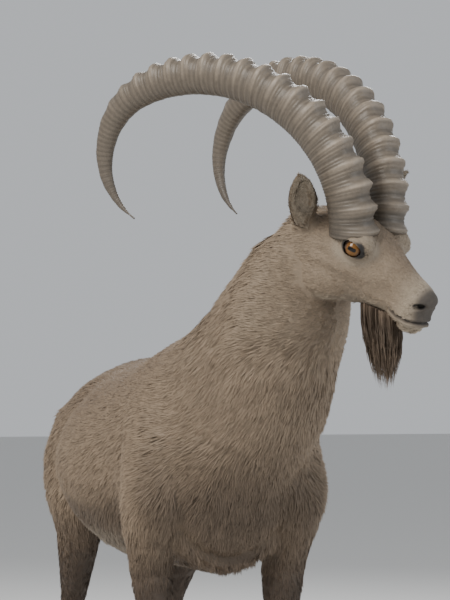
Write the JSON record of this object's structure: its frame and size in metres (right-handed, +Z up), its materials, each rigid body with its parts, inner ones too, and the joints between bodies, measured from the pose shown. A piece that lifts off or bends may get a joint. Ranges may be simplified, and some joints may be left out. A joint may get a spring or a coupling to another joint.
{
  "type": "alpine ibex",
  "caption": "Life-size still model of an adult male alpine ibex, standing with its head turned to its left, with long knobbed horns and a short beard.",
  "frame": {"origin": "on the floor under the middle of the whole outline", "axes": "+X is the way the trunk faces, +Y the animal's left, +Z up"},
  "size_m": [1.3738, 0.4974, 1.4224],
  "materials": {
    "coat": "short dense fur",
    "face": "very short fur",
    "dark_coat": "long coarse hair",
    "leg_coat": "short fur",
    "horn": "ridged horn, satin",
    "hoof": "worn hoof horn",
    "eye": "wet and glossy"
  },
  "bodies": {
    "root": {"torso": "coat", "neck": "coat", "head": "face", "tail": "dark_coat", "beard": "dark_coat", "ear_left": "face", "ear_right": "face", "horn_left": "horn", "horn_right": "horn", "eye_left": "eye", "eye_right": "eye", "leg_front_left": "leg_coat", "leg_front_right": "leg_coat", "leg_hind_left": "leg_coat", "leg_hind_right": "leg_coat", "hoof_front_left_outer": "hoof", "hoof_front_left_inner": "hoof", "hoof_front_right_outer": "hoof", "hoof_front_right_inner": "hoof", "hoof_hind_left_outer": "hoof", "hoof_hind_left_inner": "hoof", "hoof_hind_right_outer": "hoof", "hoof_hind_right_inner": "hoof"}
  },
  "joints": []
}
